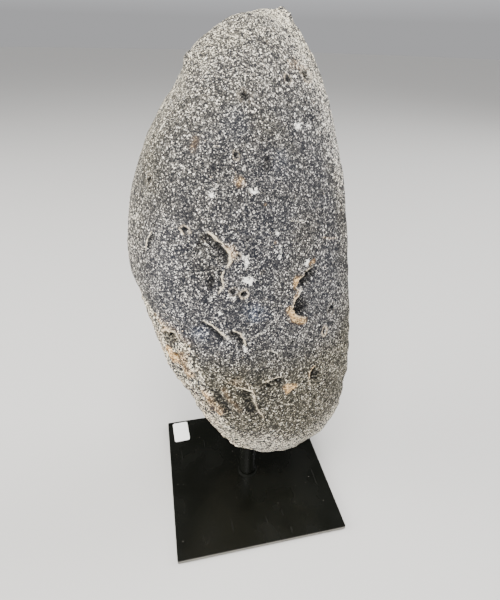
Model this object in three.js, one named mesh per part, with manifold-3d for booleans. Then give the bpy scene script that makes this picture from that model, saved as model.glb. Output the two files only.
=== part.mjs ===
// Agate geode on a display stand: one sawn stone standing on a steel post and a square plate.
// Millimetres, +Z up, origin at the centre of the felt that the stand rests on.
import * as THREE from 'three';
import { mergeVertices } from 'three/addons/utils/BufferGeometryUtils.js';
import Module from 'manifold-3d';

const wasm = await Module();
wasm.setup();

// Gap kept between pieces that touch.
const GAP = 0.3;

// Stand.
const PLATE_SIDE = 127;
const PLATE_THICK = 3.2;
const PLATE_CORNER = 0.8;
const PLATE_BEVEL = 0.3;
const FELT_SIDE = 119;
const FELT_THICK = 1.0;
const POST_RADIUS = 6.35;
const POST_CHAMFER = 0.6;
const PIN_RADIUS = 3;
const PIN_LENGTH = 36;
const BEAD_RADIUS = 8.6;
const BEAD_HEIGHT = 2;
const LABEL = { width: 13.5, length: 21.3, thick: 0.3, corner: 1.8, x: -52, y: 50.6, turn: 2.5 };
const PLATE_TOP = FELT_THICK + PLATE_THICK;
const SEAT_HEIGHT = 65;
const ROUND_STEPS = 48;

// Stone. The sawn face is upright. It is FACE_OFFSET from the post's axis and turned FACE_TURN
// degrees from the plate's back edge. Places on it are (across, height).
const FACE_TURN = 45;
const FACE_OFFSET = 35.5;
const FACE_CENTRE = [-6, 194];
const DEPTH = 104;
const SWELL = 0.97;
const OUTLINE = [
  [48, 194], [44, 214], [40, 233], [36, 251], [30, 268], [24, 284], [17, 299], [7, 315],
  [-6, 327], [-20, 330], [-34, 324], [-47, 309], [-59, 293], [-70, 276], [-79, 253], [-82, 225],
  [-77, 196], [-70, 170], [-64, 146], [-59, 122], [-53, 99], [-43, 80], [-31, 67], [-18, 58],
  [-5, 50], [10, 45], [27, 45], [43, 54], [55, 76], [58, 109], [56, 143], [52, 171],
];
const OUTLINE_STEPS = 96;
const DEPTH_STEPS = 24;

// Old fracture on the lower side of the stone: a soft flat whose outward normal and distance
// from the origin are given. It fades out next to the sawn face.
const FRACTURE_NORMAL = new THREE.Vector3(-0.92, -0.1, -0.37).normalize();
const FRACTURE_DISTANCE = -2;
const FRACTURE_SOFTNESS = 5;
const FRACTURE_FADE = 10;

// Crystal pocket in the sawn face: half-width, half-height and depth.
const POCKET = { across: -6, height: 196, halfWidth: 14, halfHeight: 44, depth: 15 };

const paint = (color, roughness, metalness = 0) =>
  new THREE.MeshStandardMaterial({ color, roughness, metalness });
const STONE = paint(0x4a4c52, 0.85);
const BLACK_PAINT = paint(0x0f1110, 0.3, 0.4);
const WELD = paint(0x2a2b2b, 0.4, 0.6);
const PAPER = paint(0xf4f4f2, 0.8);
const FELT = paint(0x14140f, 0.95);

function meshOf(name, geometry, material) {
  const mesh = new THREE.Mesh(geometry, material);
  mesh.name = name;
  return mesh;
}

// Booleans.
function solidOf(geometry) {
  const bare = geometry.clone();
  bare.deleteAttribute('normal');
  bare.deleteAttribute('uv');
  const merged = mergeVertices(bare, 1e-4);
  return new wasm.Manifold(new wasm.Mesh({
    numProp: 3,
    vertProperties: new Float32Array(merged.attributes.position.array),
    triVerts: new Uint32Array(merged.index.array),
  }));
}

function geometryOf(solid) {
  const { vertProperties, triVerts } = solid.getMesh();
  const geometry = new THREE.BufferGeometry();
  geometry.setAttribute('position', new THREE.BufferAttribute(vertProperties, 3));
  geometry.setIndex(new THREE.BufferAttribute(triVerts, 1));
  geometry.computeVertexNormals();
  return geometry;
}

// Profile points are [radius, height]; the turned piece stands on +Z.
function turned(profile) {
  const points = profile.map(([radius, height]) => new THREE.Vector2(radius, height));
  return new THREE.LatheGeometry(points, ROUND_STEPS).rotateX(Math.PI / 2);
}

function roundedRectangle(width, length, radius) {
  const x = width / 2;
  const y = length / 2;
  const shape = new THREE.Shape();
  shape.absarc(x - radius, y - radius, radius, 0, Math.PI / 2);
  shape.absarc(radius - x, y - radius, radius, Math.PI / 2, Math.PI);
  shape.absarc(radius - x, radius - y, radius, Math.PI, 1.5 * Math.PI);
  shape.absarc(x - radius, radius - y, radius, 1.5 * Math.PI, 2 * Math.PI);
  return shape;
}

function slab(width, length, thick, corner, bevel = 0) {
  const options = { depth: thick - 2 * bevel, curveSegments: 6, bevelEnabled: bevel > 0 };
  Object.assign(options, { bevelSize: bevel, bevelThickness: bevel, bevelSegments: 1 });
  const shape = roundedRectangle(width - 2 * bevel, length - 2 * bevel, corner);
  return new THREE.ExtrudeGeometry(shape, options).translate(0, 0, bevel);
}

// Stand pieces.
function feltPad() {
  return meshOf('felt_pad', slab(FELT_SIDE, FELT_SIDE, FELT_THICK, 2), FELT);
}

function basePlate() {
  const geometry = slab(PLATE_SIDE, PLATE_SIDE, PLATE_THICK, PLATE_CORNER, PLATE_BEVEL);
  const mesh = meshOf('base_plate', geometry, BLACK_PAINT);
  mesh.position.z = FELT_THICK;
  return mesh;
}

function post() {
  const shoulder = SEAT_HEIGHT - GAP;
  const pinTop = SEAT_HEIGHT + PIN_LENGTH;
  const profile = [
    [0, PLATE_TOP], [POST_RADIUS, PLATE_TOP],
    [POST_RADIUS, shoulder - POST_CHAMFER], [POST_RADIUS - POST_CHAMFER, shoulder],
    [PIN_RADIUS, shoulder], [PIN_RADIUS, pinTop - 1], [PIN_RADIUS - 1, pinTop], [0, pinTop],
  ];
  return meshOf('post', turned(profile), BLACK_PAINT);
}

// A thin fillet of weld round the foot of the post.
function weldBead() {
  const inner = POST_RADIUS + GAP;
  const profile = [
    [inner, 0], [BEAD_RADIUS, 0], [BEAD_RADIUS - 0.3, 0.5],
    [inner + 0.7, BEAD_HEIGHT - 0.5], [inner, BEAD_HEIGHT], [inner, 0],
  ];
  const mesh = meshOf('weld_bead', turned(profile), WELD);
  mesh.position.z = PLATE_TOP;
  return mesh;
}

function label() {
  const geometry = slab(LABEL.width, LABEL.length, LABEL.thick, LABEL.corner);
  const mesh = meshOf('label', geometry, PAPER);
  mesh.position.set(LABEL.x, LABEL.y, PLATE_TOP);
  mesh.rotation.z = THREE.MathUtils.degToRad(LABEL.turn);
  return mesh;
}

// Stone pieces. Face axes: across the sawn face, and out of it.
const turn = THREE.MathUtils.degToRad(FACE_TURN);
const OUT = new THREE.Vector3(Math.sin(turn), Math.cos(turn), 0);
const ACROSS = new THREE.Vector3(Math.cos(turn), -Math.sin(turn), 0);

// A place given by across, height and depth behind the sawn face.
function place(across, height, depth) {
  const point = new THREE.Vector3(0, 0, height);
  point.addScaledVector(ACROSS, across);
  return point.addScaledVector(OUT, FACE_OFFSET - depth);
}

function fractured(point, depth) {
  const beyond = point.dot(FRACTURE_NORMAL) - FRACTURE_DISTANCE;
  const soft = FRACTURE_SOFTNESS * Math.log1p(Math.exp(beyond / FRACTURE_SOFTNESS));
  return point.addScaledVector(FRACTURE_NORMAL, -soft * Math.min(1, depth / FRACTURE_FADE));
}

// The rind swells from the outline of the sawn face to one furthest place behind it.
function rindPoint(edge, level) {
  const angle = (level / DEPTH_STEPS) * Math.PI / 2;
  const shrink = level === DEPTH_STEPS ? 0 : Math.cos(angle) ** SWELL;
  const depth = DEPTH * Math.sin(angle) ** SWELL;
  const across = FACE_CENTRE[0] + (edge.x - FACE_CENTRE[0]) * shrink;
  const height = FACE_CENTRE[1] + (edge.y - FACE_CENTRE[1]) * shrink;
  return fractured(place(across, height, depth), depth);
}

function stoneBody() {
  const corners = OUTLINE.map(([across, height]) => new THREE.Vector3(across, height, 0));
  const outline = new THREE.CatmullRomCurve3(corners, true, 'catmullrom', 0.5);
  const edges = outline.getPoints(OUTLINE_STEPS).slice(0, OUTLINE_STEPS);
  const points = [];
  for (let level = 0; level < DEPTH_STEPS; level += 1) {
    points.push(...edges.map((edge) => rindPoint(edge, level)));
  }
  const peak = points.push(rindPoint(edges[0], DEPTH_STEPS)) - 1;
  const faceMiddle = points.push(place(...FACE_CENTRE, 0)) - 1;
  const triangles = [];
  for (let i = 0; i < OUTLINE_STEPS; i += 1) {
    const next = (i + 1) % OUTLINE_STEPS;
    for (let level = 0; level + 1 < DEPTH_STEPS; level += 1) {
      const a = level * OUTLINE_STEPS;
      const b = a + OUTLINE_STEPS;
      triangles.push(a + i, a + next, b + i, a + next, b + next, b + i);
    }
    const last = (DEPTH_STEPS - 1) * OUTLINE_STEPS;
    triangles.push(last + i, last + next, peak, faceMiddle, next, i);
  }
  const geometry = new THREE.BufferGeometry().setFromPoints(points);
  geometry.setIndex(triangles);
  return geometry;
}

function crystalPocket() {
  const bowl = new THREE.SphereGeometry(1, 36, 18);
  bowl.scale(POCKET.halfWidth, POCKET.depth, POCKET.halfHeight);
  bowl.rotateZ(-turn);
  const middle = place(POCKET.across, POCKET.height, 0);
  return bowl.translate(middle.x, middle.y, middle.z);
}

// The drilled hole for the pin, with a flat seat for the shoulder of the post at its mouth.
function pinHole() {
  const seatRadius = POST_RADIUS + GAP;
  const holeRadius = PIN_RADIUS + GAP;
  const top = SEAT_HEIGHT + PIN_LENGTH + 1;
  const profile = [
    [0, 0], [seatRadius, 0], [seatRadius, SEAT_HEIGHT], [holeRadius, SEAT_HEIGHT],
    [holeRadius, top], [0, top + holeRadius / 2],
  ];
  return turned(profile);
}

function geode() {
  const rough = solidOf(stoneBody());
  const hollowed = rough.subtract(solidOf(crystalPocket()));
  return meshOf('geode', geometryOf(hollowed.subtract(solidOf(pinHole()))), STONE);
}

const stand = new THREE.Group();
stand.add(feltPad(), basePlate(), post(), weldBead(), label());

const geodeOnStand = new THREE.Group();
geodeOnStand.add(geode(), stand);

export default geodeOnStand;
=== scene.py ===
"""Agate geode on a display stand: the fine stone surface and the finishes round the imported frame."""
import math
from contextlib import contextmanager

import bmesh
import bpy
import numpy as np
from bpy.props import FloatProperty, FloatVectorProperty, IntProperty, PointerProperty
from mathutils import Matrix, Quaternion, Vector, geometry


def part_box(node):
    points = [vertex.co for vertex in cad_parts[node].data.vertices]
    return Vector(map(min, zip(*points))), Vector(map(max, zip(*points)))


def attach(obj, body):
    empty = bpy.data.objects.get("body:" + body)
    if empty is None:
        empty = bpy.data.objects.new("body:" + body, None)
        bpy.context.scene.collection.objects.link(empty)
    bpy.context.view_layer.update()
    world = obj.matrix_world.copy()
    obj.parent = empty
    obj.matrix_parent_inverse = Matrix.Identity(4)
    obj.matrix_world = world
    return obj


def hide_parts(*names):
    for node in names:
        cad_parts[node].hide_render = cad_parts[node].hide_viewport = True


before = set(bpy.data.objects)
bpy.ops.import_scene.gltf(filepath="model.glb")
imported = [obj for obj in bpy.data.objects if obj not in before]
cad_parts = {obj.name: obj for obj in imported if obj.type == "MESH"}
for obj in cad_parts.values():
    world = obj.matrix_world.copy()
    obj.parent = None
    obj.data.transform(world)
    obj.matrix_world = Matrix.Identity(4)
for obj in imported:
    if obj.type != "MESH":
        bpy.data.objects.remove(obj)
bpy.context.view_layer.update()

bl_info = {
    "name": "Agate Geode on a Stand",
    "version": (1, 0, 0),
    "blender": (4, 5, 0),
    "location": "3D View > Sidebar > Geode",
    "description": "Builds a sawn agate geode on a steel post and plate",
    "category": "Add Mesh",
}

MM = 0.001

# The stone in millimetres. Places on it are (across, height), seen square on to the sawn face.
FACE_TURN = math.radians(45)
FACE_OFFSET = 35.5
FACE_CENTRE = np.array([-6.0, 194.0])
DEPTH = 104.0
SWELL = 0.97
OUTLINE = [
    (48, 194), (44, 214), (40, 233), (36, 251), (30, 268), (24, 284), (17, 299), (7, 315),
    (-6, 327), (-20, 330), (-34, 324), (-47, 309), (-59, 293), (-70, 276), (-79, 253), (-82, 225),
    (-77, 196), (-70, 170), (-64, 146), (-59, 122), (-53, 99), (-43, 80), (-31, 67), (-18, 58),
    (-5, 50), (10, 45), (27, 45), (43, 54), (55, 76), (58, 109), (56, 143), (52, 171),
]
ACROSS = np.array([math.cos(FACE_TURN), -math.sin(FACE_TURN), 0.0])
OUT = np.array([math.sin(FACE_TURN), math.cos(FACE_TURN), 0.0])
UP = np.array([0.0, 0.0, 1.0])
FRACTURE_NORMAL = np.array([-0.92, -0.1, -0.37]) / np.linalg.norm([-0.92, -0.1, -0.37])
FRACTURE_DISTANCE = -2.0
FRACTURE_SOFTNESS = 5.0
FRACTURE_FADE = 10.0
POCKET = {"across": -6.0, "height": 196.0, "half_width": 14.0, "half_height": 44.0, "depth": 15.0}
POCKET_AROUND = 220
POCKET_RINGS = 30
CRYSTALS = 420
CRYSTAL_SIZES = (1.3, 3.4)
CRYSTAL_STRETCH = (1, 9, 1)
CRYSTAL_TILT = (0.3, 0.2, 1)
SEAT_RADIUS = 6.65
SEAT_HEIGHT = 65.0
DRILL_START = 20.0
DRILL_TIP = 1.5
DRILL_STEPS = 64
PIN_HOLE_RADIUS = 3.3
PIN_HOLE_TOP = 102.0
FACE_SPACING = 4.0
FACE_ROW_STEP = 0.87 * FACE_SPACING
FACE_CLEARANCE = 2.2

# The part of the rind with the most dents gets the finest mesh.
DETAIL_PLACE = (14.0, 200.0, 88.0)
DETAIL_REACH = 80.0
DETAIL_GAIN = 2.2
EVEN_PASSES = 4


# ---------------------------------------------------------------- numbers and curves


def smooth_step(low, high, value):
    """0 below low, 1 above high, and a smooth rise between them."""
    share = np.clip((value - low) / (high - low), 0, 1)
    return share * share * (3 - 2 * share)


def tapered(share, low, high):
    """1 along most of a line, and less where its share of the length nears 0 or 1."""
    return smooth_step(low, high, share) * smooth_step(low, high, 1 - share)


def hill(value):
    """1 at 0, falling smoothly to nothing on both sides."""
    return np.exp(-value ** 2)


def distances(points, spot):
    """How far each of the points is from a spot."""
    return np.linalg.norm(points - spot, axis=1)


def unit(vectors):
    """The same directions with length 1."""
    return vectors / np.maximum(np.linalg.norm(vectors, axis=-1, keepdims=True), 1e-9)


def lumps(points, size, seed):
    """Smooth random lumps about size across, roughly between -1 and 1."""
    random = np.random.default_rng(seed)
    slopes = unit(random.normal(size=(256, 3)))
    shuffle = random.permutation(256)
    scaled = points / size + random.uniform(0, 50, 3)
    cell = np.floor(scaled).astype(int)
    inside = scaled - cell
    blend = inside ** 3 * (inside * (inside * 6 - 15) + 10)
    total = np.zeros(len(points))
    for corner in np.ndindex(2, 2, 2):
        at = (cell + corner) & 255
        index = shuffle[(shuffle[(shuffle[at[:, 0]] + at[:, 1]) & 255] + at[:, 2]) & 255]
        height = np.sum(slopes[index] * (inside - corner), axis=1)
        share = np.where(np.array(corner) == 1, blend, 1 - blend)
        total += height * np.prod(share, axis=1)
    return total * 1.6


def place(across, height, depth):
    """A place in the row frame, in millimetres."""
    return (
        np.multiply.outer(across, ACROSS)
        + np.multiply.outer(height, UP)
        + np.multiply.outer(FACE_OFFSET - depth, OUT)
    )


def outline_curve(steps=24):
    """A closed smooth curve through the outline's corners."""
    corner = np.array(OUTLINE, float)
    before, after, beyond = (np.roll(corner, shift, axis=0) for shift in (1, -1, -2))
    rows = []
    for step in range(steps):
        t = step / steps
        rows.append(0.5 * (
            2 * corner
            + (after - before) * t
            + (2 * before - 5 * corner + 4 * after - beyond) * t ** 2
            + (3 * corner - before - 3 * after + beyond) * t ** 3
        ))
    return np.stack(rows, axis=1).reshape(-1, 2)


def outline_at(share):
    """The outline's places at each share of its length."""
    curve = outline_curve()
    closed = np.vstack([curve, curve[:1]])
    lengths = np.linalg.norm(np.diff(closed, axis=0), axis=1)
    along = np.concatenate([[0], np.cumsum(lengths)]) / lengths.sum()
    wrapped = np.mod(share, 1.0)
    return np.stack([np.interp(wrapped, along, closed[:, k]) for k in (0, 1)], axis=-1)


def disc_from_square(s, t):
    """Radius and angle in a disc for places in a square from -1 to 1."""
    sideways = np.abs(s) > np.abs(t)
    radius = np.where(sideways, s, t)
    divisor = np.where(radius == 0, 1, radius)
    angle = np.where(sideways, t / divisor, 2 - s / divisor) * math.pi / 4
    return np.abs(radius), np.where(radius < 0, angle + math.pi, angle)


def rind_at(s, t):
    """The rind before weathering: the sawn outline swells to one furthest place behind it."""
    radius, angle = disc_from_square(s, t)
    edge = outline_at(angle / (2 * math.pi))
    lean = radius * math.pi / 2
    shrink = np.sin(lean) ** SWELL
    depth = DEPTH * np.clip(np.cos(lean), 0, 1) ** SWELL
    flat = FACE_CENTRE + (edge - FACE_CENTRE) * shrink[..., None]
    points = place(flat[..., 0], flat[..., 1], depth)
    beyond = points @ FRACTURE_NORMAL - FRACTURE_DISTANCE
    soft = FRACTURE_SOFTNESS * np.log1p(np.exp(beyond / FRACTURE_SOFTNESS))
    faded = soft * np.minimum(1, depth / FRACTURE_FADE)
    return points - faded[..., None] * FRACTURE_NORMAL


def respaced(s, t, rows):
    """Moves the grid's places along its rows or columns until they are evenly spaced."""
    if rows:
        s, t = s.T, t.T
    points = rind_at(s, t)
    centre = place(*DETAIL_PLACE)
    away = np.linalg.norm(points - centre, axis=-1) / DETAIL_REACH
    weight = 1 + DETAIL_GAIN * hill(away)
    step = np.linalg.norm(np.diff(points, axis=1), axis=-1)
    step *= (weight[:, 1:] + weight[:, :-1]) / 2
    even = np.linspace(0, 1, s.shape[1])
    for line in range(len(s)):
        along = np.concatenate([[0], np.cumsum(step[line])])
        along = 0.5 * along / along[-1] + 0.5 * even
        s[line] = np.interp(even, along, s[line])
        t[line] = np.interp(even, along, t[line])
    return (s.T, t.T) if rows else (s, t)


def rind_grid(columns, rows):
    """Evenly spread places on the rind, as an array of columns by rows."""
    s, t = np.meshgrid(np.linspace(-1, 1, columns + 1), np.linspace(-1, 1, rows + 1), indexing="ij")
    for _ in range(EVEN_PASSES):
        s, t = respaced(s.copy(), t.copy(), rows=False)
        s, t = respaced(s.copy(), t.copy(), rows=True)
    return rind_at(s, t)


def grid_normals(points):
    """Outward directions of a grid of places."""
    along = np.gradient(points, axis=0)
    up = np.gradient(points, axis=1)
    return unit(np.cross(along, up))


# ---------------------------------------------------------------- weathering of the rind

# Places on the rind are (across, height, depth behind the sawn face).
# Dents: (places along the wall, depth, reach, shadow width, lip height, pale, tan). The hollow lies
# on the left of the walking direction when its depth is positive.
# A dent's pale lip is partly a painted highlight of its lit edge, and its shadow is painted.
DENTS = [
    ([(7.5, 244.5, 90.5), (9.5, 242.5, 89.5), (11.5, 240.5, 88), (14, 238, 86.5), (16, 235, 85.5),
      (17.5, 232, 85), (18, 228.5, 86), (16.5, 226.5, 88)], -3.8, 15, 1.7, 0.5, 0.65, 0.45),
    ([(16.5, 226, 88), (16.5, 222.5, 89.5), (17, 217.5, 90.5), (15.5, 214.5, 92.5)],
     -2.6, 11, 1.1, 0.4, 0.6, 0.35),
    ([(10.5, 201, 98.5), (14.5, 198, 96), (17, 195, 94.5), (19.5, 192, 93), (22, 188, 91)],
     -2.4, 10, 2.2, 0.5, 0.5, 0.2),
    ([(22, 194.5, 90), (25, 191, 87), (27, 187, 85.5), (27.5, 183.5, 85)],
     -2.2, 7, 2.2, 0.5, 0.6, 0.4),
    ([(40.5, 214, 39), (39, 213.5, 44.5), (38.5, 211.5, 49.5), (38, 209.5, 53), (38, 206, 54)],
     4.5, 11, 4.2, 0.5, 0.5, 0.3),
    ([(40, 203, 50), (39, 201.5, 54), (39, 199.5, 56.5), (39, 196, 57.5), (40.5, 191.5, 56),
      (42.5, 188, 52), (43.5, 187.5, 48.5)], 5.0, 13, 5.2, 0.5, 0.4, 0.4),
    ([(34.5, 158.5, 80.5), (37, 156.5, 76.5), (38.5, 158, 73.5), (41.5, 157, 68.5)],
     -2.4, 7, 1.6, 0.3, 0.55, 0.35),
    ([(50.5, 151, 42), (49.5, 149.5, 47.5), (49.5, 144, 48.5), (51, 138, 46.5)],
     4.5, 9, 4.6, 0.4, 0.7, 0.6),
    ([(-14, 184, 102.5), (-12.5, 187.5, 103), (-8, 190, 103.5), (-4, 190, 104), (-1, 186.5, 103.5)],
     -4.2, 10, 3.6, 0.8, 0.95, 0.2),
    ([(-19, 239.5, 97), (-22, 234.5, 97.5), (-22.5, 229.5, 98.5)], 1.0, 6, 0.8, 0.3, 0.6, 0.3),
]
# Raised seams: (places along it, half-width, height, pale, tan).
SEAMS = [
    ([(19, 166, 96.5), (22, 164, 94), (26, 160, 90.5), (29, 157.5, 88), (31.5, 155, 85),
      (33, 151.5, 83.5), (33, 147, 83.5), (33.5, 143, 83), (35, 138, 81.5), (36, 133, 79.5),
      (37.5, 126, 77.5)], 0.8, 1.6, 0.8, 0.35),
    ([(24, 165.5, 93), (28, 162, 88.5), (32, 158, 84)], 0.6, 0.8, 0.6, 0.3),
    ([(-20, 196.5, 102), (-13, 195, 103), (-7.5, 194.5, 104), (-3, 193.5, 103.5),
      (0.5, 191.5, 103.5), (4, 188.5, 102.5), (7.5, 184.5, 101.5)], 1.5, 1.5, 0.6, 0.3),
    ([(-1, 182, 103), (0, 176, 103), (0, 169, 102.5), (4, 161, 101)], 1.4, 1.1, 0.55, 0.6),
    ([(8, 155, 100), (12.5, 152.5, 99), (14.5, 147.5, 97.5), (18, 142, 95.5), (18, 136.5, 94)],
     1.3, 1.3, 0.35, 0.5),
    ([(19.5, 162, 96), (21.5, 155, 94.5), (23, 150.5, 93.5), (26, 145, 90.5), (27.5, 137.5, 89)],
     1.2, 1.2, 0.3, 0.45),
]
# Round pits: (place, radius, depth, pale ring, tan ring).
PITS = [
    ((49.5, 182, 25.5), 2.6, 2.4, 0.3, 0.0), ((24, 212.5, 82), 1.6, 2.6, 0.8, 0.3),
    ((20.5, 214.5, 86.5), 1.6, 1.4, 0.3, 0.1), ((20, 231.5, 82), 1.1, 1.0, 0.4, 0.1),
    ((0, 244, 95), 1.4, 1.2, 0.7, 0.2), ((49.5, 171, 33.5), 1.8, 1.6, 0.6, 0.6),
    ((48, 175.5, 37), 1.3, 1.2, 0.1, 0.0), ((-13.5, 190.5, 103), 1.8, 1.8, 0.3, 0.4),
    ((26.5, 163.5, 90), 1.2, 1.2, 0.2, 0.2), ((6, 295.5, 56), 2.1, 1.8, 0.2, 0.1),
    ((14.5, 302, 14.5), 2.6, 2.2, 0.3, 0.3), ((13, 301, 30), 1.6, 1.0, 0.2, 0.3),
    ((0.5, 316, 31.5), 1.0, 1.2, 0.2, 0.1), ((-1, 321, 21), 0.9, 1.0, 0.2, 0.1),
    ((17, 290.5, 36), 1.0, 1.0, 0.1, 0.1), ((-25.5, 261, 88), 1.8, 1.6, 0.3, 0.0),
    ((10.5, 273.5, 70.5), 1.2, 0.8, 0.5, 0.1), ((36.5, 174.5, 73.5), 1.2, 1.0, 0.1, 0.0),
    ((27.5, 263, 40), 0.9, 0.9, 0.0, 0.0), ((26.5, 269, 34), 0.9, 0.9, 0.0, 0.0),
    ((38, 153, 75.5), 1.4, 1.6, 0.0, 0.0), ((41, 154, 69.5), 1.8, 2.0, 0.0, 0.0),
]
# Broad swellings and hollows: (place, radius, height).
SWELLINGS = [
    ((-28, 296, 66), 12, -1.6), ((-37, 299, 54), 10, -2.2), ((-30.5, 310.5, 53), 4, 2.4),
    ((-31, 315, 41), 6, 0.7), ((-27, 272, 82), 14, 0.9), ((-57, 272, 55), 8, 0.7),
    ((-53, 233, 80), 8, -0.7), ((-15, 330, 10), 9, -2.6), ((-9, 330, 1), 3, 3.6),
    ((-4.5, 327.5, 0), 2.6, 2.2), ((0, 322, 4), 7, 0.8), ((54, 76, 18), 10, 0.9),
    ((58, 121, 8), 5, -1.3), ((58.5, 110, 0), 6, -1.2), ((47, 71, 36), 10, -1.4),
    ((34, 69, 52), 9, -1.2), ((30, 89, 71), 13, -1.6), ((12, 86, 73), 6, 1.5),
    ((14, 90, 78), 9, -0.6), ((-2, 98, 77), 9, 0.2), ((-10, 130, 89), 10, -2.0),
    ((-5, 145, 95), 9, -1.8), ((-25, 196, 100), 11, -1.2), ((-37, 194, 94), 10, -1.9),
    ((-8, 140, 94), 20, -0.4), ((20, 250, 74), 26, 0.7), ((30, 185, 80), 18, -0.6),
]
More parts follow.
